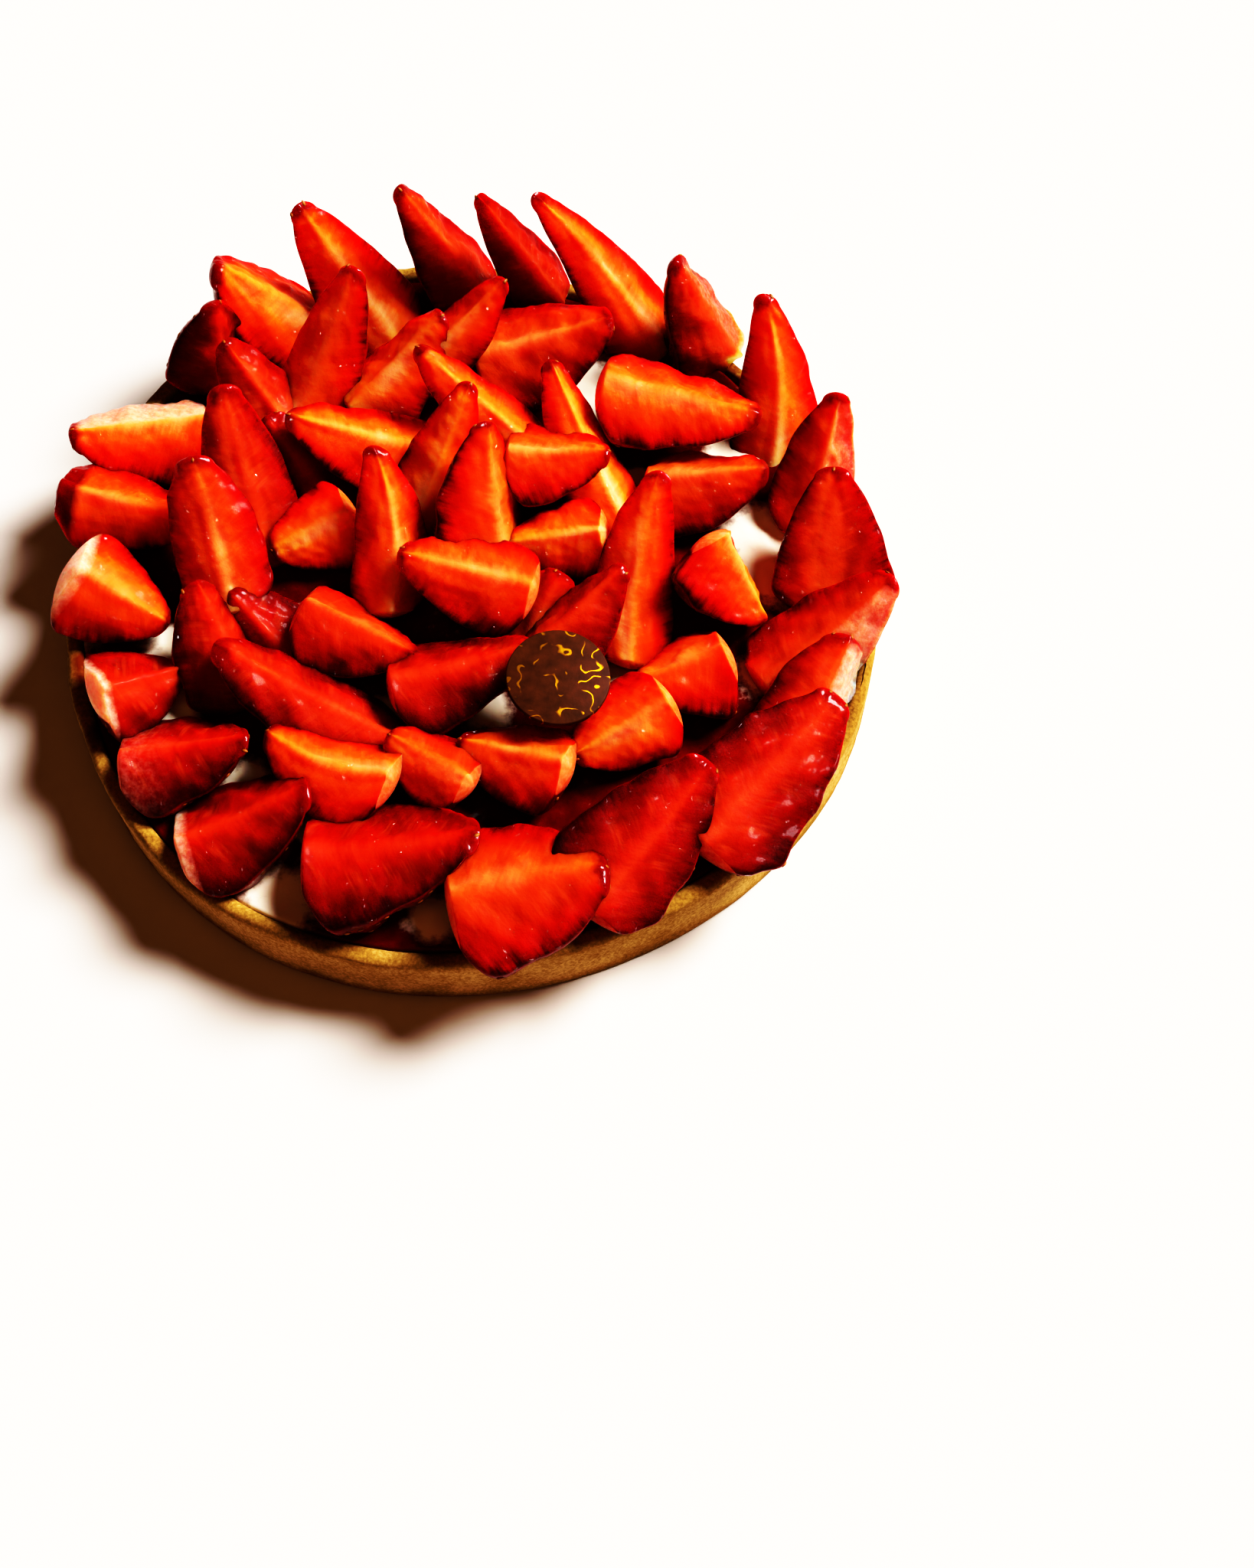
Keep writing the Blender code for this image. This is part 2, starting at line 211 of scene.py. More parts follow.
def makeShortcrust():
    material, tree, shader = newMaterial("shortcrustBaked")
    place = addNode(tree, "ShaderNodeTexCoord").outputs["Object"]
    patches = addNode(tree, "ShaderNodeTexNoise", {
        "Vector": place, "Scale": 1000 / crustLook["patchMm"], "Detail": 4.0, "Roughness": 0.6})
    grain = addNode(tree, "ShaderNodeTexNoise", {
        "Vector": place, "Scale": 1000 / crustLook["grainMm"], "Detail": 3.0, "Roughness": 0.7})
    height = addNode(tree, "ShaderNodeSeparateXYZ", {"Vector": place}).outputs["Z"]
    edge = addNode(tree, "ShaderNodeMapRange", {
        "Value": height, "From Min": 16.5 * mm, "From Max": 20.2 * mm,
        "To Min": 0.0, "To Max": 0.16})
    foot = addNode(tree, "ShaderNodeMapRange", {
        "Value": height, "From Min": 0.0, "From Max": 5 * mm, "To Min": 0.22, "To Max": 0.0})
    bake = addNode(tree, "ShaderNodeMath", {0: patches.outputs["Fac"], 1: 0.45, 2: edge.outputs[0]},
                   operation="MULTIPLY_ADD")
    bake = addNode(tree, "ShaderNodeMath", {0: bake.outputs[0], 1: foot.outputs[0]},
                   operation="ADD")
    speck = addNode(tree, "ShaderNodeMath", {
        0: grain.outputs["Fac"], 1: 0.6, 2: bake.outputs[0]}, operation="MULTIPLY_ADD")
    ramp = addNode(tree, "ShaderNodeValToRGB", {"Fac": speck.outputs[0]})
    fillRamp(ramp, [(0.36, crustLook["pale"]), (0.60, crustLook["golden"]),
                    (0.90, crustLook["toasted"])])
    plan = addNode(tree, "ShaderNodeVectorMath", {0: place, 1: (1.0, 1.0, 0.0)},
                   operation="MULTIPLY").outputs[0]
    reach = addNode(tree, "ShaderNodeVectorMath", {0: plan}, operation="LENGTH").outputs["Value"]
    inner = addNode(tree, "ShaderNodeMapRange", {   # juice stain on the inner edge, also painted shade under the overhanging fruit
        "Value": reach, "From Min": 98.5 * mm, "From Max": 95.5 * mm}).outputs[0]
    splash = addNode(tree, "ShaderNodeMapRange", {
        "Value": patches.outputs["Fac"], "From Min": 0.48, "From Max": 0.62}).outputs[0]
    stainAndShadeMask = addNode(tree, "ShaderNodeMath", {0: inner, 1: splash}, operation="MULTIPLY").outputs[0]
    stained = addNode(tree, "ShaderNodeMix", {
        "Factor": stainAndShadeMask, "A": ramp.outputs["Color"], "B": colour(crustLook["stainAndShade"])},
        data_type="RGBA").outputs["Result"]
    tree.links.new(stained, shader.inputs["Base Color"])
    coarse = addNode(tree, "ShaderNodeTexNoise", {
        "Vector": place, "Scale": 1000 / 2.6, "Detail": 2.0})
    relief = addNode(tree, "ShaderNodeMath", {
        0: grain.outputs["Fac"], 1: 0.5, 2: coarse.outputs["Fac"]}, operation="MULTIPLY_ADD")
    bump = addNode(tree, "ShaderNodeBump", {
        "Height": relief.outputs[0], "Strength": 0.5, "Distance": 0.3 * mm})
    tree.links.new(bump.outputs["Normal"], shader.inputs["Normal"])
    shader.inputs["Roughness"].default_value = crustLook["roughness"]
    shader.inputs["IOR"].default_value = 1.45
    shader.inputs["Specular IOR Level"].default_value = 0.06
    return material


print("shell")
makeShell(makeShortcrust())


# the cream

cream = {
    "level": 17.0, "swell": 0.7, "swellMm": 34, "edgeGap": 0.2, "bottom": 4.25,
    "strokeMm": 9, "strokeHeight": 0.3,   # marks of the palette knife
    "fineMm": 4, "fineHeight": 0.12,
    "cleanReach": 1.3, "cleanLift": 0.5,  # size and height of the patches that show clean
    "wallReach": 8, "wallLift": 1.8,      # spread up against the wall
}

# whipped mascarpone cream: white, smooth and satin, with a little light let through;
# over most of it a dark red is painted, partly strawberry juice and glaze, partly painted shade in
# the gaps between the fruit

creamLook = {
    "white": "FFF8EC", "paintedShade": "F8E0BC", "juiceAndShade": "3C0200", "juiceAndShadePale": "8A1005",
}

# where the cream shows clean between the fruit, free of the dark red juice and painted shade: x, y
# and radius
cleanCream = [
    (32, 63, 8), (69, 43, 5), (-74, -16, 4), (-69, -34, 4), (-50, -51, 3.5), (-32, -63, 4),
    (-39, -82, 6), (-43, -15, 6), (-19, -35, 4), (6, -33, 4), (75, 9, 8), (73, 17, 6), (44, 34, 3),
    (41, -22, 5), (71, -22, 4), (-4, -87, 4), (5, 79, 4), (-33, 25, 3), (-97, -12, 4),
]


def makeCreamMaterial():
    material, tree, shader = newMaterial("creamWhipped")
    place = addNode(tree, "ShaderNodeTexCoord").outputs["Object"]
    field = addNode(tree, "ShaderNodeAttribute", attribute_name="creamField").outputs["Vector"]
    clean = addNode(tree, "ShaderNodeSeparateXYZ", {"Vector": field}).outputs["X"]
    blot = addNode(tree, "ShaderNodeTexNoise", {
        "Vector": place, "Scale": 1000 / 4.5, "Detail": 4.0, "Roughness": 0.65})
    mask = addNode(tree, "ShaderNodeMath", {0: blot.outputs["Fac"], 1: 1.5, 2: clean},
                   operation="MULTIPLY_ADD")
    mask = addNode(tree, "ShaderNodeMapRange", {
        "Value": mask.outputs[0], "From Min": 0.95, "From Max": 1.5}).outputs[0]
    # a warmer cream colour as painted shade, mixed in at random patches
    tone = addNode(tree, "ShaderNodeTexNoise", {"Vector": place, "Scale": 1000 / 16})
    white = addNode(tree, "ShaderNodeMix", {
        "Factor": tone.outputs["Fac"], "A": colour(creamLook["white"]),
        "B": colour(creamLook["paintedShade"])}, data_type="RGBA")
    # dark red over most of the cream: partly juice and glaze, partly painted shade between the
    # fruit
    juiceAndShade = addNode(tree, "ShaderNodeMix", {
        "Factor": blot.outputs["Fac"], "A": colour(creamLook["juiceAndShade"]),
        "B": colour(creamLook["juiceAndShadePale"])}, data_type="RGBA")
    both = addNode(tree, "ShaderNodeMix", {
        "Factor": mask, "A": juiceAndShade.outputs["Result"], "B": white.outputs["Result"]},
        data_type="RGBA")
    tree.links.new(both.outputs["Result"], shader.inputs["Base Color"])
    wet = addNode(tree, "ShaderNodeMapRange", {
        "Value": mask, "To Min": 0.12, "To Max": 0.42}).outputs[0]
    tree.links.new(wet, shader.inputs["Roughness"])
    fine = addNode(tree, "ShaderNodeTexNoise", {
        "Vector": place, "Scale": 1000 / 1.6, "Detail": 3.0})
    bump = addNode(tree, "ShaderNodeBump", {
        "Height": fine.outputs["Fac"], "Strength": 0.25, "Distance": 0.25 * mm})
    tree.links.new(bump.outputs["Normal"], shader.inputs["Normal"])
    shader.inputs["Subsurface Weight"].default_value = 0.25
    shader.inputs["Subsurface Radius"].default_value = (1.0, 0.7, 0.45)
    shader.inputs["Subsurface Scale"].default_value = 2 * mm
    shader.inputs["IOR"].default_value = 1.45
    shader.inputs["Specular IOR Level"].default_value = 0.3
    return material


def makeCream(material):
    outer = shell["radius"] - shell["wall"] - cream["edgeGap"]
    level, bottom = cream["level"], cream["bottom"]
    profile = [(0, level)] + stretch((0, level), (outer - 1, level), 1.3)
    profile += arc(outer - 1, level - 1, 1, 90, 0, 3)
    profile += stretch((outer, level - 1), (outer, bottom), 4)
    profile += [(outer, bottom), (outer - 20, bottom), (0, bottom)]
    piece = spunPiece("cream_whipped", profile, 220, material)
    places = readPlaces(piece.data)
    top = np.clip((places[:, 2] / mm - bottom) / (level - bottom), 0, 1)
    flat = places * (1, 1, 0)
    waves = softWaves(flat, cream["swellMm"] * mm, 21) * cream["swell"]
    turned = np.stack([flat[:, 0] + 0.6 * flat[:, 1], 0.25 * flat[:, 1], 0 * flat[:, 0]], axis=1)
    waves += softWaves(turned, cream["strokeMm"] * mm, 22) * cream["strokeHeight"]
    waves += softWaves(flat, cream["fineMm"] * mm, 23, 14) * cream["fineHeight"]
    clean = np.zeros(len(places))
    for x, y, radius in cleanCream:
        away = np.hypot(places[:, 0] / mm - x, places[:, 1] / mm - y)
        away = away / (cream["cleanReach"] * radius)
        clean = np.maximum(clean, np.clip(1.6 - away, 0, 1))
    waves += clean * cream["cleanLift"]
    inwards = outer - np.hypot(flat[:, 0], flat[:, 1]) / mm
    nearWall = np.clip(1 - inwards / cream["wallReach"], 0, 1)
    waves += cream["wallLift"] * nearWall ** 2
    places[:, 2] += top * waves * mm
    places = bendToOutline(places)
    writePlaces(piece.data, places)
    addField(piece.data, "creamField", np.stack([clean, top, top], axis=1))
    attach(piece, "root")
    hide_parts("cream")
    return piece


print("cream")
makeCream(makeCreamMaterial())


# the cut strawberries

# Each piece: stem end and tip of its ridge, radius, roll, sector, fullness, bow and ripeness.
# The ridge is the berry's core line, where its cut faces meet. The skin faces down at roll 0.
berries = {
    "back_1": ((-62, 57, 22), (-62, 66, 46), 17.5, 42, 95, 1.3, 0, 1.0),
    "back_2": ((-45, 44, 23), (-61, 60, 40), 14.5, -5, 95, 1.6, 0, 0.8),
    "back_3": ((-38, 81, 23), (-63, 80, 46), 20.0, -5, 95, 2.0, 0, 0.2),
    "back_4": ((-20, 73, 20), (-43, 93, 52), 19.5, -20, 95, 1.0, 0, 0.1),
    "back_5": ((6, 87, 22), (-17, 95, 56), 15.5, -15, 95, 1.0, 0, 0.7),
    "back_6": ((24, 87, 21), (3, 94, 54), 12.5, -25, 95, 1.1, 0, 0.85),
    "back_7": ((51, 72, 19), (17, 93, 56), 16.0, -15, 95, 0.9, -2, 0.25),
    "back_8": ((71, 69, 20), (53, 77, 50), 18.0, -5, 95, 1.2, 0, 0.75),
    "right_1": ((77, 34, 18), (74, 68, 48), 16.5, 0, 95, 1.1, -3, 0.15),
    "right_2": ((85, 14, 20), (92, 39, 46), 15.0, 15, 95, 1.6, 0, 0.45),
    "right_3": ((90, -8, 22), (90, 22, 40), 15.0, -5, 170, 1.4, 0, 0.7),
    "right_4": ((73, -29, 24), (104, -5, 34), 18.0, 10, 100, 1.5, 0, 0.7),
    "right_5": ((81, -60, 24), (94, -20, 32), 17.5, 25, 95, 2.7, 2, 0.75),
    "front_1": ((58, -74, 31), (90, -37, 33), 16.3, 15, 165, 1.6, 0, 0.9),
    "front_2": ((31, -89, 31), (59, -56, 37), 15.6, 15, 165, 1.5, 0, 0.95),
    "front_3": ((1, -88, 34), (36, -81, 35), 20.0, 0, 140, 1.9, 0, 0.6),
    "front_4": ((-33, -73, 34), (7, -72, 36), 26.5, -15, 95, 1.3, 0, 1.0),
    "front_5": ((-64, -70, 28), (-33, -60, 34), 21.5, -10, 95, 1.6, 0, 1.0),
    "left_1": ((-78, -49, 30), (-48, -46, 31), 20.0, -10, 95, 1.5, 0, 1.0),
    "left_2": ((-81, -36, 36), (-65, -26, 27), 17.0, 15, 95, 1.7, 0, 0.9),
    "left_3": ((-89, -7, 40), (-70, -13, 24), 20.5, 10, 95, 1.3, 0, 0.4),
    "left_4": ((-99, 22, 34), (-63, 13, 30), 16.5, 5, 95, 1.5, 0, 0.5),
    "left_5": ((-66, 45, 30), (-99, 37, 34), 17.5, 0, 95, 2.3, 0, 0.25),
    "mid_1": ((-48, 6, 21), (-59, 42, 46), 16.5, 5, 95, 1.9, 0, 0.75),
    "mid_2": ((-56, -12, 28), (-65, 21, 46), 15.5, -10, 100, 2.8, 0, 0.5),
    "mid_3": ((-47, -32, 23), (-61, -10, 40), 17.5, 25, 95, 1.9, 0, 0.9),
    "mid_4": ((-15, -43, 26), (-56, -25, 38), 15.5, 10, 95, 2.6, 0, 0.9),
    "mid_5": ((-15, -57, 33), (-44, -45, 32), 16.0, 0, 100, 1.7, 3, 0.4),
    "mid_6": ((3, -57, 32), (-16, -45, 30), 14.0, 0, 100, 1.7, 0, 0.5),
    "mid_7": ((-16, -30, 32), (18, -23, 34), 19.5, -10, 95, 1.3, 0, 0.95),
    "mid_8": ((25, -54, 34), (0, -46, 29), 16.0, 0, 100, 1.7, 0, 0.45),
    "mid_9": ((49, -39, 35), (27, -51, 29), 16.0, -14, 100, 1.7, 0, 0.25),
    "mid_10": ((62, -23, 33), (42, -30, 28), 19.5, 10, 95, 1.4, 0, 0.45),
    "mid_11": ((65, 4, 38), (75, -12, 24), 19.0, -35, 95, 1.7, 0, 0.3),
    "mid_12": ((45, 27, 30), (75, 27, 33), 18.5, 0, 95, 1.5, 0, 0.55),
    "mid_13": ((35, 49, 42), (74, 41, 36), 18.5, 0, 100, 1.6, 0, 0.3),
    "mid_14": ((41, -23, 24), (48, 19, 43), 14.5, 5, 95, 1.9, 2, 0.3),
    "mid_15": ((17, -21, 28), (39, -3, 36), 16.5, -10, 95, 1.2, 0, 0.85),
    "mid_16": ((33, 8, 34), (10, 8, 28), 14.0, -20, 100, 1.7, 0, 0.0),
    "mid_17": ((11, 28, 40), (36, 27, 40), 16.5, 0, 95, 1.5, 0, 0.4),
    "mid_18": ((11, 4, 30), (7, 28, 50), 19.0, 35, 95, 1.4, 0, 0.45),
    "mid_19": ((-13, 11, 26), (2, 41, 48), 14.0, 20, 95, 1.4, 0, 0.15),
    "mid_20": ((-17, -10, 25), (-21, 24, 46), 14.5, 10, 95, 1.5, -3, 0.25),
    "mid_21": ((-9, 32, 33), (-45, 41, 36), 16.5, -5, 100, 1.5, 0, 0.15),
    "mid_22": ((-45, 47, 24), (-29, 77, 48), 15.0, 0, 100, 1.8, 0, 0.4),
    "mid_23": ((-17, 55, 32), (9, 75, 46), 13.0, 5, 95, 1.6, 0, 0.4),
    "mid_24": ((1, 62, 33), (36, 66, 42), 21.5, 10, 95, 1.6, 0, 0.5),
    "mid_25": ((18, 32, 34), (-12, 54, 46), 12.5, -5, 95, 1.6, 0, 0.15),
    "mid_26": ((40, 14, 26), (21, 53, 42), 14.0, 10, 95, 1.5, 0, 0.1),
    "mid_27": ((-29, 15, 32), (-48, 7, 26), 15.0, -15, 110, 1.6, 0, 0.1),
    "mid_28": ((17, -8, 35), (-15, 0, 37), 17.0, -10, 100, 1.7, 0, 0.4),
    "mid_29": ((15, -16, 20), (24, -1, 29), 16.0, 15, 95, 1.9, 0, 0.9),
    "mid_30": ((-36, -11, 34), (-10, -23, 28), 17.5, -10, 95, 1.5, 0, 0.75),
    "mid_31": ((-31, 49, 28), (-7, 68, 42), 16.5, 0, 95, 1.6, 0, 0.25),
    "mid_32": ((-30, 20, 20), (-51, 43, 32), 17.5, -15, 95, 1.9, 0, 1.0),
    "mid_33": ((-36, -26, 20), (-56, -7, 30), 16.5, -15, 95, 1.9, 0, 1.0),
}

# single pieces: paleness of the stem end (on left_2 and left_3 raised as painted light), which cut
# face carries a painted sheen (1 or -1) and how much, how far paleness runs from the stem end as a
# share of the length, and how strong it is
extras = {
    "left_3": (1.0, 0, 0.0, 0.10, 0.7), "left_2": (1.0, 0, 0.0, 0.10, 0.7),
    "left_1": (0.3, 0, 0.0, 0.45, 0.1), "left_5": (0.1, 1, 0.5, 0.0, 0.0),
    "right_4": (0.0, 1, 0.4, 0.0, 0.0), "right_5": (0.0, 1, 0.65, 0.0, 0.0),
    "back_8": (0.0, 1, 0.15, 0.0, 0.0), "right_2": (0.0, 1, 0.25, 0.0, 0.0),
    "front_5": (0.6, 0, 0.0, 0.08, 0.5),
}
skinnedEnds = ("left_4",)   # the skin wraps the stem end too
# how flat the two cut faces lie: 0 keeps the sharp ridge, 1 opens it by 60 degrees
flatness = {
    "back_1": 0.35, "back_4": 0.7, "back_7": 0.7, "right_1": 0.4, "right_2": 0.5, "right_4": 0.6,
    "front_4": 0.7, "front_5": 0.65, "left_1": 0.6, "mid_1": 0.5, "mid_2": 0.6, "mid_4": 0.45,
    "mid_7": 0.55, "mid_14": 0.5, "mid_17": 0.45, "mid_18": 0.55, "mid_20": 0.3, "mid_22": 0.6,
    "mid_24": 0.5, "mid_10": 0.4, "mid_28": 0.35, "mid_21": 0.35, "mid_13": 0.35,
}
usualFlatness = 0.2

fruit = {
    "faceSteps": 22, "skinSteps": 34,     # points across a cut face and round the skin
    # the outline: where it is widest, the stem end against that, and how blunt the tip is
    "widest": 0.2, "stemShare": 0.62, "tipPower": 0.58,
    "lumps": 0.036, "lumpMm": 12,         # unevenness of the skin
    "knifeMm": 10, "knifeWave": 0.5,      # unevenness of the cut
    "fineMm": 3.2, "fineWave": 0.16,
    "faceSwell": 0.5, "coreDip": 0.28,    # how the cut flesh swells, and its soft core sinks
    "stemDome": 1.6,                      # how far the stem end swells out
    "nose": 0.92, "noseDrop": 0.35,       # where the blunt tip starts, and how far it leans down
    "flatDrop": 0.22,                     # how far an opened piece sinks, so its faces stay put
    "seedGap": 3.5, "seedTurn": 2.399963,   # seeds in a spiral, by the golden angle
    "pitDepth": 0.42, "pitMm": 1.05,      # the dimple round each seed
}
capShares = [0.04, 0.2, 0.4, 0.6, 0.76, 0.88, 0.96]   # rings of the stem end, out from its middle
bodyShares = [0.0, 0.008, 0.02] + [0.045 + 0.925 * (1 - (1 - i / 44) ** 1.25) for i in range(45)]
tipShares = [0.982, 0.991, 0.997, 1.0]
around = 2 * fruit["faceSteps"] + fruit["skinSteps"]
ringShares = [0.0] * len(capShares) + bodyShares + tipShares


def makeSliceMaster():
    bpy.ops.object.select_all(action="DESELECT")
    bpy.ops.mesh.primitive_circle_add(vertices=around, radius=1, fill_type="NGON",
                                      rotation=(0, math.pi / 2, 0))
    master = nameIt("slice_master")
    bpy.ops.object.transform_apply(location=False, rotation=True, scale=False)
    bpy.ops.object.mode_set(mode="EDIT")
    bpy.ops.mesh.select_all(action="SELECT")
    for _ in ringShares[1:]:
        bpy.ops.mesh.extrude_region_move(TRANSFORM_OT_translate={"value": (1, 0, 0)})
    bpy.ops.mesh.select_all(action="SELECT")
    bpy.ops.mesh.normals_make_consistent(inside=False)
    bpy.ops.object.mode_set(mode="OBJECT")
    bpy.ops.object.shade_smooth()
    places = readPlaces(master.data)
    ring = np.rint(places[:, 0]).astype(int)
    turn = np.arctan2(places[:, 2], places[:, 1]) / (2 * math.pi) * around
    return master, ring, np.rint(turn).astype(int) % around


def berryShare(t, fullness):
    early = np.clip(t / fruit["widest"], 0, 1)
    late = np.clip((t - fruit["widest"]) / (1 - fruit["widest"]), 0, 1)
    opening = fruit["stemShare"] + (1 - fruit["stemShare"]) * (1 - (1 - early) ** 2)
    return np.where(t < fruit["widest"], opening, (1 - late ** fullness) ** fruit["tipPower"])


def berryFrame(stem, tip, roll):
    stem, tip = np.array(stem, float), np.array(tip, float)
    length = np.linalg.norm(tip - stem)
    axis = (tip - stem) / length
    up = np.array((0, 0, 1.0)) - axis * axis[2]
    up /= np.linalg.norm(up)
    left = np.cross(up, axis)
    angle = math.radians(roll)
    depth = left * math.sin(angle) - up * math.cos(angle)
    return stem, axis, np.cross(depth, axis), depth, left, length


def seedPlaces(length, radius, sector, fullness, seed):  # spiral of seeds, as share and angle
    rng = np.random.default_rng(900 + seed)
    whole = max(20, int(2 * math.pi * radius * 0.78 * length / fruit["seedGap"] ** 2))
    steps = np.linspace(0, 1, 60)
    area = np.cumsum(berryShare(steps, fullness))
    t = np.interp((np.arange(whole) + 0.5) / whole, area / area[-1], steps)
    angle = np.arange(whole) * fruit["seedTurn"] + rng.uniform(0, 6.28)
    angle = angle % (2 * math.pi) - math.pi
    angle += rng.normal(0, 0.5, whole) / (radius * np.maximum(berryShare(t, fullness), 0.3))
    t += rng.normal(0, 0.35, whole) / length
    edge = 1.7 / (radius * np.maximum(berryShare(t, fullness), 0.25))
    keep = (np.abs(angle) < math.radians(sector) / 2 - edge) & (t > 0.015) & (t < 0.97)
    return t[keep], angle[keep]


def makeBerry(name, row, seed, master, ring, turn, material):
    stem, tip, radius, roll, sector, fullness, bow, ripe = row
    origin, axis, side, depth, left, length = berryFrame(stem, tip, roll)
    flat = flatness.get(name, usualFlatness) if sector < 130 else 0
    half = math.radians(sector + 60 * flat) / 2
    lowered = fruit["flatDrop"] * flat * radius
    radius *= math.sin(math.radians(sector) / 2) / math.sin(half)
    faces, skins = fruit["faceSteps"], fruit["skinSteps"]
    t = np.array(ringShares)
    share = berryShare(t, fullness)
    nose = fruit["nose"]
    blunt = np.sqrt(np.clip(1 - (np.clip(t - nose, 0, 1) / (1 - nose)) ** 2, 0.0009, 1))
    share = np.where(t > nose, berryShare(nose, fullness) * blunt, share)
    drop = fruit["noseDrop"] * radius * berryShare(nose, fullness) * (1 - blunt)
    scale = np.ones(len(t))
    scale[:len(capShares)] = capShares
    scale[len(capShares)] = 0.985

    # round the section: out along one cut face, round the skin, back along the other face
    u = np.concatenate([np.arange(faces) / faces, np.ones(skins), 1 - np.arange(faces) / faces])
    angle = np.concatenate([np.full(faces, half), half - 2 * half * np.arange(skins) / skins,
                            np.full(faces, -half)])
    onSkin = np.concatenate([np.zeros(faces), np.ones(skins), np.zeros(faces)])
    onSkin[faces] = onSkin[faces + skins] = 0.5
    reach = share[:, None] * u[None, :] * radius
    along = (t * length)[:, None] * np.ones_like(u)[None, :]
    y, z = np.sin(angle)[None, :] * reach, np.cos(angle)[None, :] * reach

    # the skin's lumps, and a pit round each seed
    probe = np.stack([along, y, z], axis=-1)
    lump = softWaves(probe, fruit["lumpMm"], 100 + seed) * fruit["lumps"]
    seedT, seedAngle = seedPlaces(length, radius, math.degrees(2 * half), fullness, seed)
    seedReach = radius * berryShare(seedT, fullness)
    pit = np.zeros_like(reach)
    skinColumns = slice(faces, faces + skins + 1)
    for atShare, atAngle, atReach in zip(seedT, seedAngle, seedReach):
        away = ((along[:, skinColumns] - atShare * length) ** 2
                + ((angle[skinColumns][None, :] - atAngle) * atReach) ** 2)
        pit[:, skinColumns] += np.exp(-away / fruit["pitMm"] ** 2)
    pit = np.clip(pit, 0, 1.1)
    stretchOut = 1 + lump * u[None, :]
    sink = -fruit["pitDepth"] * pit * (onSkin > 0)[None, :] * np.clip(share * 2, 0, 1)[:, None]
    reach = reach * stretchOut + sink
    y, z = np.sin(angle)[None, :] * reach, np.cos(angle)[None, :] * reach + drop[:, None]
    z += lowered * share[:, None]

    # the knife's unevenness, the flesh swelling out of the cut and the soft core sinking
    sign = np.concatenate([np.ones(faces), np.zeros(skins), -np.ones(faces)])[None, :]
    wave = softWaves(probe, fruit["knifeMm"], 300 + seed) * fruit["knifeWave"]
    wave += softWaves(probe, fruit["fineMm"], 400 + seed, 14) * fruit["fineWave"]
    puff = fruit["faceSwell"] * np.sin(np.clip(u, 0, 1) * math.pi)
    puff -= fruit["coreDip"] * np.exp(-((u - 0.2) / 0.1) ** 2)
    bulge = (wave + puff[None, :] * share[:, None]) * np.clip(u * 4, 0, 1)
    bulge *= np.clip(share * 3, 0, 1)[:, None]
    y = y + np.cos(angle)[None, :] * bulge * sign
    z = z - np.sin(angle)[None, :] * bulge * sign

    # draw the rings of the stem end together round the section's middle
    middleZ = z.mean(axis=1) * 1.15
    y = y * scale[:, None]
    z = middleZ[:, None] + (z - middleZ[:, None]) * scale[:, None]
    dome = np.zeros(len(t))
    dome[:len(capShares)] = fruit["stemDome"] * (1 - np.array(capShares) ** 2)
    along = along - dome[:, None]

    # soften the corners, the core line most
    soft = 0.25 * np.exp(-(np.arange(around) - faces) ** 2 / 8)
    soft += 0.25 * np.exp(-(np.arange(around) - faces - skins) ** 2 / 8)
    ridge = 0.25 * np.exp(-np.minimum(np.arange(around), around - np.arange(around)) ** 2 / 3)
    for step in range(5):
        near = ridge + (soft if step < 4 else 0)
        for part in (along, y, z):
            part += near * (np.roll(part, 1, axis=1) + np.roll(part, -1, axis=1) - 2 * part)
    curve = bow * 4 * t * (1 - t)
    places = (origin + along[..., None] * axis + y[..., None] * side + z[..., None] * depth
              + curve[:, None, None] * left)

    # rest on the rim: what would reach into it goes up onto it or in beside it
    restZ = shell["height"] + 0.4 + (0.35 + 0.6 * (1 - u)) * (onSkin < 0.5)
    wall = shell["radius"] - shell["wall"] - 0.5
    for step in range(4):
        distance = np.hypot(places[..., 0], places[..., 1])
        distance = distance / outline(places[..., 0], places[..., 1])
        up = restZ[None, :] - places[..., 2]
        out = distance - wall
        inside = (up > 0) & (out > 0)
        if step == 0:
            touched = inside[..., None] * 0.4
        pulled = np.where(inside & (out < up), wall / np.maximum(distance, 1e-3), 1.0)
        places[..., :2] *= pulled[..., None]
        places[..., 2] += np.where(inside & (out >= up), up, 0)
        if step < 3:
            mean = (np.roll(places, 1, axis=1) + np.roll(places, -1, axis=1)) / 4
            mean[1:-1] += (places[2:] + places[:-2]) / 4
            mean[[0, -1]] += places[[0, -1]] / 2
            places += (mean - places) * touched
    places[..., 2] = np.maximum(places[..., 2], cream["bottom"] + 1.5)

    piece = master.copy()
    piece.data = master.data.copy()
    piece.name = piece.data.name = "berry_" + name
    bpy.context.collection.objects.link(piece)
    writePlaces(piece.data, (places * mm)[ring, turn])
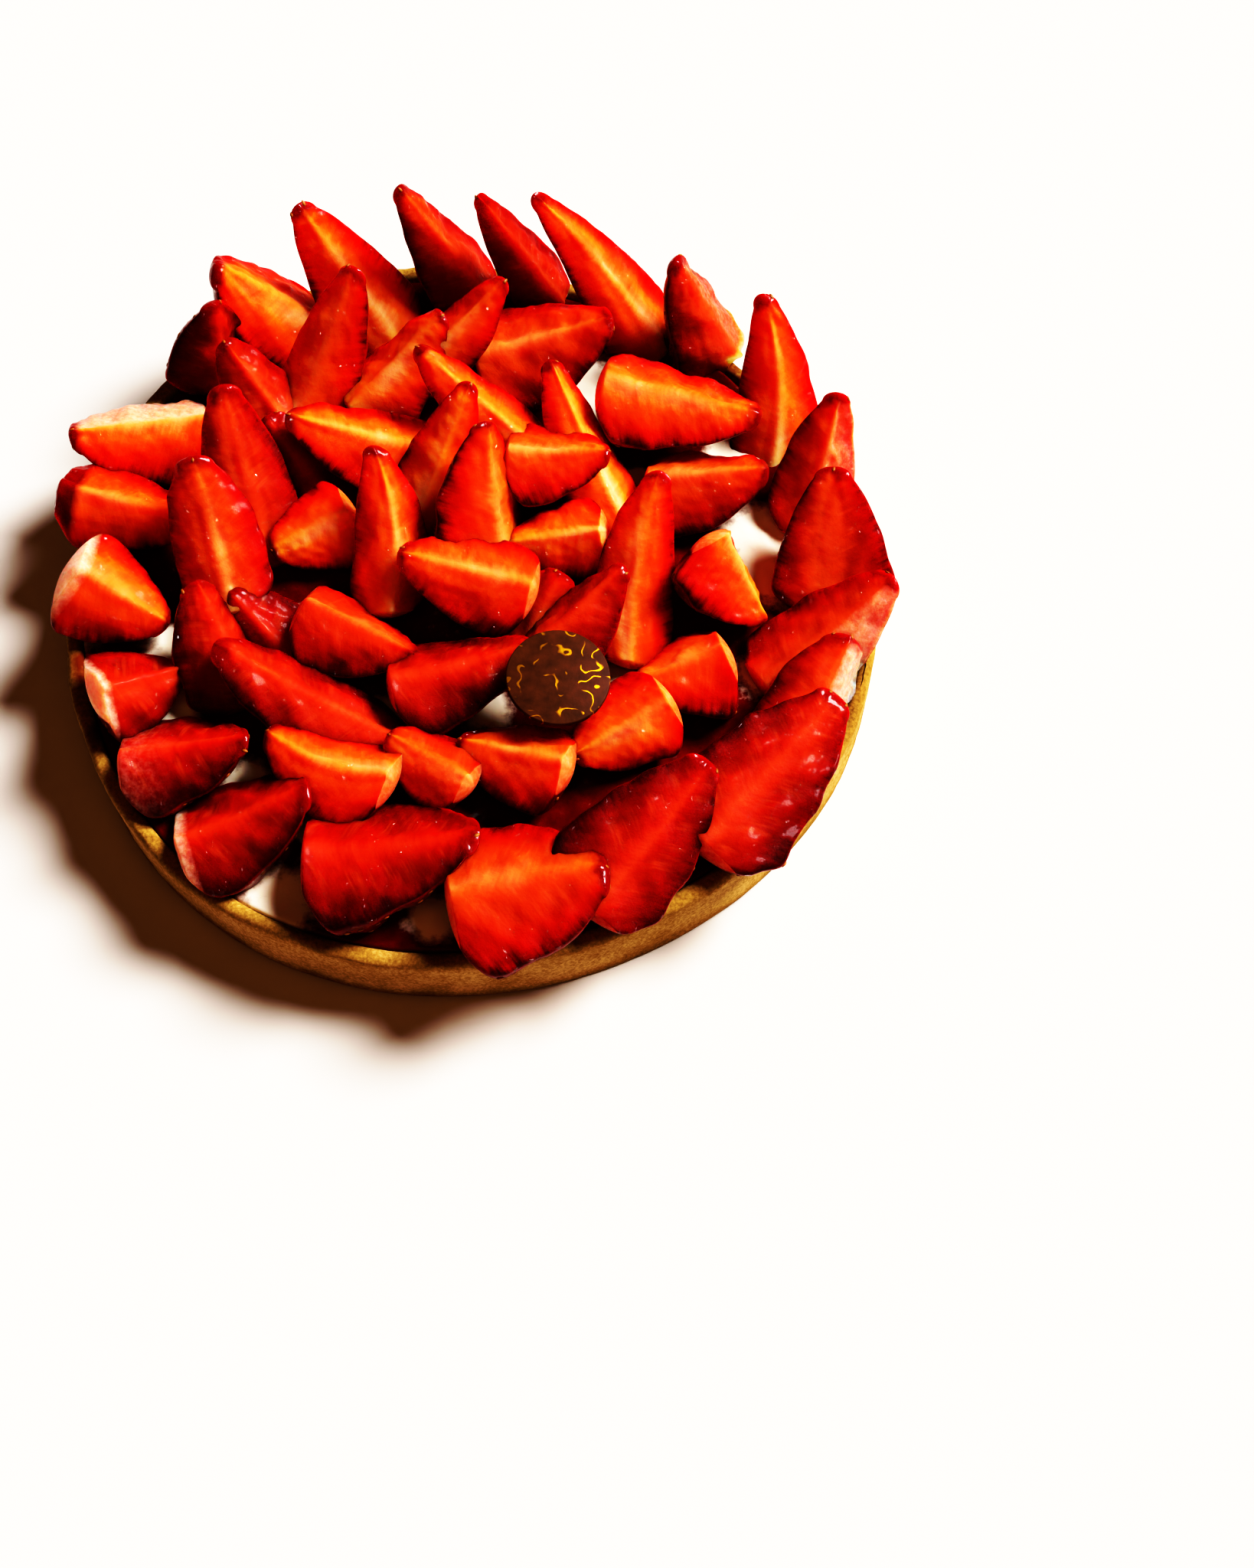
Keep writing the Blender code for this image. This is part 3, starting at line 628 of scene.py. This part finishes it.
    # fields for the flesh: how far from the core to the skin, off the middle by a little
    off = 0.16 * math.sin(seed * 2.4)
    signed = sign * u[None, :]
    toSkin = np.where(signed > off, (signed - off) / (1 - off), (off - signed) / (1 + off))
    toSkin = np.where(onSkin[None, :] > 0.4, 1.0, toSkin) * np.ones_like(along)
    capRows = np.arange(len(t)) < len(capShares)
    toSkin[capRows] = (np.hypot(y, z - middleZ[:, None] * 0.3) / radius)[capRows]
    capRing = np.clip(1 - scale, 0, 1)
    capRing[len(capShares):] = 0
    capPaleAndLit, sheenSign, paintedSheenFace, paleStem, stemPale = extras.get(name, (0.12, 0, 0, 0, 0))
    # a painted sheen on one cut face of the pieces listed in extras
    pale = paintedSheenFace * (sign == sheenSign) * np.clip(u * 5, 0, 1)[None, :] * np.ones_like(along)
    if paleStem:
        pale = np.maximum(pale, np.clip(1.2 - t / paleStem, 0, 1)[:, None] * stemPale)
    pale[capRows] = capPaleAndLit
    skinned = onSkin[None, :] * scale[:, None] ** 6
    if name in skinnedEnds:
        skinned = np.maximum(skinned, np.clip(1.4 - t / 0.12, 0, 1)[:, None] * (t < 0.2)[:, None])
    addField(piece.data, "sliceMm", np.stack([along, np.hypot(y, z), skinned], axis=-1)[ring, turn])
    addField(piece.data, "sliceShape", np.stack(
        [t[:, None] * np.ones_like(along), toSkin,
         capRing[:, None] * np.ones_like(along)], axis=-1)[ring, turn])
    addField(piece.data, "sliceTone", np.stack(
        [np.full_like(along, ripe), np.full_like(along, (seed * 0.37) % 1), pale],
        axis=-1)[ring, turn])
    piece.data.materials.clear()
    piece.data.materials.append(material)
    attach(piece, "root")
    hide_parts(name)

    # where the seeds sit, and how they lie
    lumpAt = softWaves(np.stack([seedT * length, np.sin(seedAngle) * seedReach,
                                 np.cos(seedAngle) * seedReach], axis=-1),
                       fruit["lumpMm"], 100 + seed) * fruit["lumps"]
    out = np.sin(seedAngle)[:, None] * side + np.cos(seedAngle)[:, None] * depth
    spots = (origin + (seedT * length)[:, None] * axis
             + (seedReach * (1 + lumpAt) - fruit["pitDepth"] * 0.75)[:, None] * out
             + (bow * 4 * seedT * (1 - seedT))[:, None] * left
             + (lowered * berryShare(seedT, fullness))[:, None] * depth)
    slope = (berryShare(seedT + 0.01, fullness) - berryShare(seedT - 0.01, fullness)) * radius
    slope = slope / (0.02 * length)
    normal = out - slope[:, None] * axis
    normal /= np.linalg.norm(normal, axis=1)[:, None]

    # a few more seeds on the blunt tip, which the knife left whole
    rng = np.random.default_rng(600 + seed)
    tipRings = np.where((t > nose + 0.045) & (t < 0.995))[0]
    for _ in range(60):
        i, j = rng.choice(tipRings), rng.integers(0, around)
        spot = places[i, j]
        if len(spots) and np.min(np.linalg.norm(spots - spot, axis=1)) < fruit["seedGap"] * 1.2:
            continue
        across = places[i, (j + 1) % around] - places[i, j - 1]
        ahead = places[min(i + 1, len(t) - 1), j] - places[i - 1, j]
        outward = np.cross(across, ahead)
        size = np.linalg.norm(outward)
        if size < 1e-6:
            continue
        outward *= np.sign(outward @ (spot - places[i].mean(axis=0))) / size
        spots = np.concatenate([spots, [spot - 0.12 * outward]])
        normal = np.concatenate([normal, [outward]])
    # none where the piece was moved to rest on the rim
    reachOut = np.hypot(spots[:, 0], spots[:, 1]) / outline(spots[:, 0], spots[:, 1])
    clear = (reachOut < wall - 1) | (spots[:, 2] > shell["height"] + 2)
    spots, normal = spots[clear], normal[clear]
    return spots, normal, np.tile(axis, (len(spots), 1))


# fresh strawberry, cut with a knife and brushed with clear glaze: deep red outside, orange and
# paler towards the core, with light threads that run from the core to the seeds

fleshLook = {
    "orange": [(0.0, "FF9434"), (0.18, "FF8020"), (0.42, "FF640E"), (0.64, "F43A02"),
               (0.80, "DA1401"), (0.91, "A00300"), (1.0, "500000")],
    "red": [(0.0, "C43A10"), (0.14, "B42408"), (0.34, "981004"), (0.56, "820701"),
            (0.74, "6E0200"), (0.89, "4C0000"), (1.0, "320000")],
    # stemPale also colours the painted sheen on cut faces and the painted light on the caps of
    # left_2 and left_3
    "skin": "980602", "skinDark": "4C0100", "stemPale": "FBDCC6", "stemRed": "F09C7A",
    "core": "FFB086", "coreRed": "FF8450", "thread": "FF8C44", "threadMm": 1.5,
}


def makeFlesh():
    material, tree, shader = newMaterial("strawberryGlazed")
    place = addNode(tree, "ShaderNodeTexCoord").outputs["Object"]

    def field(name):
        vector = addNode(tree, "ShaderNodeAttribute", attribute_name=name).outputs["Vector"]
        return addNode(tree, "ShaderNodeSeparateXYZ", {"Vector": vector}).outputs

    def noise(size, detail=2.0, roughness=0.5, vector=None):  # size in mm
        return addNode(tree, "ShaderNodeTexNoise", {
            "Vector": vector or place, "Scale": 1000 / size if vector is None else size,
            "Detail": detail, "Roughness": roughness}).outputs["Fac"]

    def sums(operation, a, b, c=None, clamp=False):
        inputs = {0: a, 1: b} if c is None else {0: a, 1: b, 2: c}
        return addNode(tree, "ShaderNodeMath", inputs, operation=operation,
                       use_clamp=clamp).outputs[0]

    def spread(value, low, high, toLow=0.0, toHigh=1.0):
        return addNode(tree, "ShaderNodeMapRange", {
            "Value": value, "From Min": low, "From Max": high, "To Min": toLow,
            "To Max": toHigh}).outputs[0]

    def blend(amount, a, b):
        return addNode(tree, "ShaderNodeMix", {"Factor": amount, "A": a, "B": b},
                       data_type="RGBA").outputs["Result"]

    along, across, skin = field("sliceMm")
    share, toSkin, cap = field("sliceShape")
    ripe, draw, pale = field("sliceTone")

    # feathery streaks from the core outwards, slanting to the tip
    slant = sums("MULTIPLY_ADD", across, -0.5, along)
    rows = sums("MULTIPLY", slant, 1 / fleshLook["threadMm"])
    outwards = sums("MULTIPLY", across, 0.08)
    drawn = sums("MULTIPLY", draw, 31.0)
    comb = addNode(tree, "ShaderNodeCombineXYZ", {"X": rows, "Y": outwards, "Z": drawn}).outputs[0]
    streaks = noise(1.0, 2.0, 0.55, comb)
    sway = sums("MULTIPLY", sums("SUBTRACT", streaks, 0.5), spread(ripe, 0, 1, 0.36, 0.26))
    feather = sums("ADD", sway, toSkin)
    cloud = noise(7, 3.0, 0.6)
    level = sums("MULTIPLY_ADD", cloud, 0.34, sums("SUBTRACT", feather, 0.17), clamp=True)
    orange = addNode(tree, "ShaderNodeValToRGB", {"Fac": level})
    fillRamp(orange, fleshLook["orange"])
    red = addNode(tree, "ShaderNodeValToRGB", {"Fac": level})
    fillRamp(red, fleshLook["red"])
    drift = sums("MULTIPLY_ADD", noise(16), 0.4, sums("SUBTRACT", ripe, 0.2), clamp=True)
    flesh = blend(drift, orange.outputs["Color"], red.outputs["Color"])

    # the pale flame at the core, and a few light threads
    early = spread(share, 0.86, 0.45)
    heart = sums("MULTIPLY_ADD", cloud, 0.26, sums("MULTIPLY_ADD", streaks, 0.22, toSkin))
    heart = sums("MULTIPLY", spread(heart, 0.48, 0.2), early)
    heart = sums("MULTIPLY", heart, spread(noise(11, 1.0), 0.36, 0.56, 0.25, 1.0))
    heart = sums("MULTIPLY", heart, spread(ripe, 0.2, 0.85, 1.0, 0.15))
    core = blend(ripe, colour(fleshLook["core"]), colour(fleshLook["coreRed"]))
    flesh = blend(heart, flesh, core)
    threads = spread(streaks, 0.50, 0.72, 0.0, 0.34)
    threads = sums("MULTIPLY", threads, spread(toSkin, 0.15, 0.30))
    threads = sums("MULTIPLY", threads, spread(toSkin, 0.75, 0.40))
    threads = sums("MULTIPLY", threads, spread(ripe, 0.1, 1.0, 0.9, 0.5))
    flesh = blend(threads, flesh, colour(fleshLook["thread"]))

    # the pale, fibrous stem end, made paler on some caps as painted light, and a painted sheen on
    # some cut faces, as of the white floor seen at a grazing angle
    fibre = noise(1.3, 3.0, 0.65)
    paleFibreAndSheen = blend(fibre, colour(fleshLook["stemRed"]), colour(fleshLook["stemPale"]))
    paleFibreAndSheenMask = sums("MULTIPLY_ADD", sums("SUBTRACT", fibre, 0.5), 0.5, pale)
    paleFibreAndSheenMask = sums("MULTIPLY", paleFibreAndSheenMask, spread(pale, 0.02, 0.12), clamp=True)
    flesh = blend(paleFibreAndSheenMask, flesh, paleFibreAndSheen)

    # the skin, which also wraps the blunt tip
    outside = blend(noise(8, 3.0), colour(fleshLook["skinDark"]), colour(fleshLook["skin"]))
    tip = spread(sums("MULTIPLY_ADD", noise(4), 0.14, sums("SUBTRACT", share, 0.07)), 0.885, 0.955)
    skinMask = sums("MAXIMUM", spread(skin, 0.1, 0.6), tip)
    whole = blend(skinMask, flesh, outside)
    tree.links.new(whole, shader.inputs["Base Color"])

    # wet flesh: soft gloss on the cut, brighter on the skin, and beads of glaze on both
    cells = noise(0.9, 3.0, 0.6)
    relief = sums("MULTIPLY_ADD", streaks, -0.5, cells)
    bump = addNode(tree, "ShaderNodeBump", {
        "Height": relief, "Strength": 0.5, "Distance": 0.32 * mm})
    tree.links.new(bump.outputs["Normal"], shader.inputs["Normal"])
    drops = spread(noise(2.4, 1.0), 0.60, 0.72)
    wet = addNode(tree, "ShaderNodeBump", {
        "Height": drops, "Strength": 1.0, "Distance": 0.7 * mm})
    tree.links.new(wet.outputs["Normal"], shader.inputs["Coat Normal"])
    tree.links.new(spread(skinMask, 0, 1, 0.5, 0.3), shader.inputs["Roughness"])
    gloss = sums("MULTIPLY_ADD", drops, 0.8, spread(skinMask, 0, 1, 0.1, 0.4), clamp=True)
    tree.links.new(gloss, shader.inputs["Coat Weight"])
    shader.inputs["Coat Roughness"].default_value = 0.04
    shader.inputs["Coat IOR"].default_value = 1.4
    shader.inputs["IOR"].default_value = 1.38
    shader.inputs["Specular IOR Level"].default_value = 0.1
    shader.inputs["Subsurface Weight"].default_value = 0.9
    shader.inputs["Subsurface Radius"].default_value = (1.0, 0.28, 0.09)
    shader.inputs["Subsurface Scale"].default_value = 15.0 * mm
    return material


print("strawberries")
flesh = makeFlesh()
master, ring, turn = makeSliceMaster()
seedSpots, seedNormals, seedAxes = [], [], []
for seed, (name, row) in enumerate(berries.items()):
    spots, normals, axes = makeBerry(name, row, seed, master, ring, turn, flesh)
    seedSpots.append(spots)
    seedNormals.append(normals)
    seedAxes.append(axes)
bpy.data.objects.remove(master, do_unlink=True)


# the seeds

seeds = {"length": 1.6, "width": 1.0, "thickness": 0.6, "pointed": 0.42}

# strawberry seeds: dry, hard and straw yellow, half sunk in the skin

seedLook = {"straw": "B8741E", "tan": "7A3A0C", "roughness": 0.5}


def makeSeedMaterial():
    material, tree, shader = newMaterial("seedStraw")
    place = addNode(tree, "ShaderNodeTexCoord").outputs["Object"]
    tone = addNode(tree, "ShaderNodeTexNoise", {"Vector": place, "Scale": 1000 / 5})
    mix = addNode(tree, "ShaderNodeMix", {
        "Factor": tone.outputs["Fac"], "A": colour(seedLook["tan"]),
        "B": colour(seedLook["straw"])}, data_type="RGBA")
    tree.links.new(mix.outputs["Result"], shader.inputs["Base Color"])
    shader.inputs["Roughness"].default_value = seedLook["roughness"]
    shader.inputs["IOR"].default_value = 1.5
    return material


def makeSeeds(spots, normals, axes, material):
    bpy.ops.object.select_all(action="DESELECT")
    bpy.ops.mesh.primitive_uv_sphere_add(segments=8, ring_count=5, radius=0.5)
    piece = nameIt("berry_seeds", material)
    shapeOne = readPlaces(piece.data)
    shapeOne[:, 1] *= 1 - seeds["pointed"] * (shapeOne[:, 0] + 0.5) ** 2
    shapeOne *= (seeds["length"], seeds["width"], seeds["thickness"])
    rng = np.random.default_rng(77)
    seedsShown = spots[:, 2] > cream["level"] - 1
    spots, normals, axes = spots[seedsShown], normals[seedsShown], axes[seedsShown]
    axes = axes + rng.normal(0, 0.2, axes.shape)
    first = axes - (axes * normals).sum(axis=1)[:, None] * normals
    first /= np.linalg.norm(first, axis=1)[:, None]
    second = np.cross(normals, first)
    size = rng.uniform(0.85, 1.15, len(spots))[:, None, None]
    placed = spots[:, None, :] + size * (
        shapeOne[None, :, 0:1] * first[:, None, :] + shapeOne[None, :, 1:2] * second[:, None, :]
        + shapeOne[None, :, 2:3] * normals[:, None, :])
    faces = [tuple(p.vertices) for p in piece.data.polygons]
    count = len(shapeOne)
    joined = [tuple(v + i * count for v in f) for i in range(len(spots)) for f in faces]
    mesh = bpy.data.meshes.new("berry_seeds")
    mesh.from_pydata((placed * mm).reshape(-1, 3).tolist(), [], joined)
    mesh.materials.append(material)
    old = piece.data
    piece.data = mesh
    bpy.data.meshes.remove(old)
    mesh.name = "berry_seeds"
    bpy.ops.object.shade_smooth()
    print("seeds", len(spots), "faces", len(joined))
    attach(piece, "root")


makeSeeds(np.concatenate(seedSpots), np.concatenate(seedNormals), np.concatenate(seedAxes),
          makeSeedMaterial())


# the chocolate disc

disc = {"radius": 12.2, "thickness": 1.6, "centre": (24.0, -33.8, 35.0), "tilt": (3.0, 4.0)}

# tempered dark chocolate with a gold transfer print: satin brown, with fine metallic strokes

chocolateLook = {"brown": "6C4024", "dark": "3C2212", "gold": "BE8E1C"}


def makeChocolate():
    material, tree, shader = newMaterial("chocolateTempered")
    place = addNode(tree, "ShaderNodeTexCoord").outputs["Object"]
    cloud = addNode(tree, "ShaderNodeTexNoise", {
        "Vector": place, "Scale": 1000 / 3.0, "Detail": 4.0})
    brown = addNode(tree, "ShaderNodeMix", {
        "Factor": cloud.outputs["Fac"], "A": colour(chocolateLook["dark"]),
        "B": colour(chocolateLook["brown"])}, data_type="RGBA")
    bend = addNode(tree, "ShaderNodeTexNoise", {
        "Vector": place, "Scale": 1000 / 7.4, "Detail": 1.5})
    stroke = addNode(tree, "ShaderNodeMapRange", {
        "Value": bend.outputs["Fac"], "From Min": 0.0, "From Max": 1.0, "To Min": 0, "To Max": 14})
    wave = addNode(tree, "ShaderNodeMath", {0: stroke.outputs[0]}, operation="PINGPONG")
    wave.inputs[1].default_value = 1.0
    thin = addNode(tree, "ShaderNodeMapRange", {
        "Value": wave.outputs[0], "From Min": 0.20, "From Max": 0.10})
    spot = addNode(tree, "ShaderNodeTexNoise", {"Vector": place, "Scale": 1000 / 7, "Detail": 2.0})
    spots = addNode(tree, "ShaderNodeMapRange", {
        "Value": spot.outputs["Fac"], "From Min": 0.48, "From Max": 0.53})
    gold = addNode(tree, "ShaderNodeMath", {0: thin.outputs[0], 1: spots.outputs[0]},
                   operation="MULTIPLY")
    mix = addNode(tree, "ShaderNodeMix", {
        "Factor": gold.outputs[0], "A": brown.outputs["Result"],
        "B": colour(chocolateLook["gold"])}, data_type="RGBA")
    tree.links.new(mix.outputs["Result"], shader.inputs["Base Color"])
    tree.links.new(gold.outputs[0], shader.inputs["Metallic"])
    dust = addNode(tree, "ShaderNodeTexNoise", {
        "Vector": place, "Scale": 1000 / 0.7, "Detail": 3.0})
    bump = addNode(tree, "ShaderNodeBump", {
        "Height": dust.outputs["Fac"], "Strength": 0.3, "Distance": 0.1 * mm})
    tree.links.new(bump.outputs["Normal"], shader.inputs["Normal"])
    shader.inputs["Roughness"].default_value = 0.5
    shader.inputs["IOR"].default_value = 1.45
    shader.inputs["Specular IOR Level"].default_value = 0.15
    return material


def makeDisc(material):
    bpy.ops.object.select_all(action="DESELECT")
    bpy.ops.mesh.primitive_cylinder_add(vertices=96, radius=disc["radius"] * mm,
                                        depth=disc["thickness"] * mm)
    piece = nameIt("chocolate_plaque", material)
    bpy.ops.object.mode_set(mode="EDIT")
    bpy.ops.mesh.select_all(action="SELECT")
    bpy.ops.mesh.bevel(offset=0.35 * mm, segments=3, affect="EDGES")
    bpy.ops.object.mode_set(mode="OBJECT")
    bpy.ops.object.shade_smooth_by_angle(angle=math.radians(40))
    piece.location = Vector(disc["centre"]) * mm
    piece.rotation_euler = [math.radians(a) for a in disc["tilt"]] + [0]
    bpy.ops.object.transform_apply(location=True, rotation=True, scale=True)
    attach(piece, "root")
    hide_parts("chocolate_disc")


print("chocolate disc")
makeDisc(makeChocolate())


# floor, light and camera

studio = {
    "floor": "D8D3CC",
    "window": ((0.90, 0.46, 1.0), 6.3, 24, "FCFDFF"),   # aim, strength, angle, colour
    "wall": ((-0.1, -0.7, 1.0), 0.5, 80, "FFBE86"),      # warm light off the room above
    "lens": 46, "cameraAt": (40.03, -258.57, 443.71), "lookDown": 64.22,   # degrees
    "world": 0.03, "backdrop": "FFFDF8", "roomLight": "FF9040",
    "contrast": [(0.06, 0.010), (0.13, 0.045), (0.27, 0.25), (0.45, 0.56), (0.7, 0.88)],
}


def makeStudio():
    bpy.ops.object.select_all(action="DESELECT")
    bpy.ops.mesh.primitive_plane_add(size=8, location=(0, 0, 0))
    material, tree, shader = newMaterial("floorPaper")
    shader.inputs["Base Color"].default_value = colour(studio["floor"])
    shader.inputs["Roughness"].default_value = 0.9
    shader.inputs["Specular IOR Level"].default_value = 0.1
    floor = nameIt("floor", material)

    for name in ("window", "wall"):
        aim, strength, angle, tint = studio[name]
        lamp = bpy.data.lights.new(name, "SUN")
        lamp.energy, lamp.angle, lamp.color = strength, math.radians(angle), colour(tint)[:3]
        holder = bpy.data.objects.new(name, lamp)
        bpy.context.collection.objects.link(holder)
        holder.rotation_euler = Vector(aim).to_track_quat("Z", "Y").to_euler()

    world = bpy.data.worlds.new("room")
    bpy.context.scene.world = world
    world.use_nodes = True
    tree = world.node_tree
    tree.nodes.clear()
    seen = addNode(tree, "ShaderNodeLightPath").outputs["Is Camera Ray"]
    strength = addNode(tree, "ShaderNodeMapRange", {
        "Value": seen, "To Min": studio["world"], "To Max": 1.0}).outputs[0]
    tint = addNode(tree, "ShaderNodeMix", {
        "Factor": seen, "A": colour(studio["roomLight"]), "B": colour(studio["backdrop"])},
        data_type="RGBA").outputs["Result"]
    back = addNode(tree, "ShaderNodeBackground", {"Color": tint, "Strength": strength})
    addNode(tree, "ShaderNodeOutputWorld", {"Surface": back.outputs[0]})

    view = bpy.context.scene.view_settings
    view.view_transform = "Standard"
    view.look = "None"
    view.use_curve_mapping = True
    for level, shown in studio["contrast"]:
        view.curve_mapping.curves[3].points.new(level, shown)
    view.curve_mapping.update()

    camera = bpy.data.cameras.new("camera")
    camera.lens = studio["lens"]
    camera.sensor_width = 36
    camera.clip_start = 0.01
    shooter = bpy.data.objects.new("camera", camera)
    bpy.context.collection.objects.link(shooter)
    shooter.location = Vector(studio["cameraAt"]) * mm
    shooter.rotation_euler = (math.radians(90 - studio["lookDown"]), 0, 0)
    bpy.context.scene.camera = shooter


print("studio")
makeStudio()
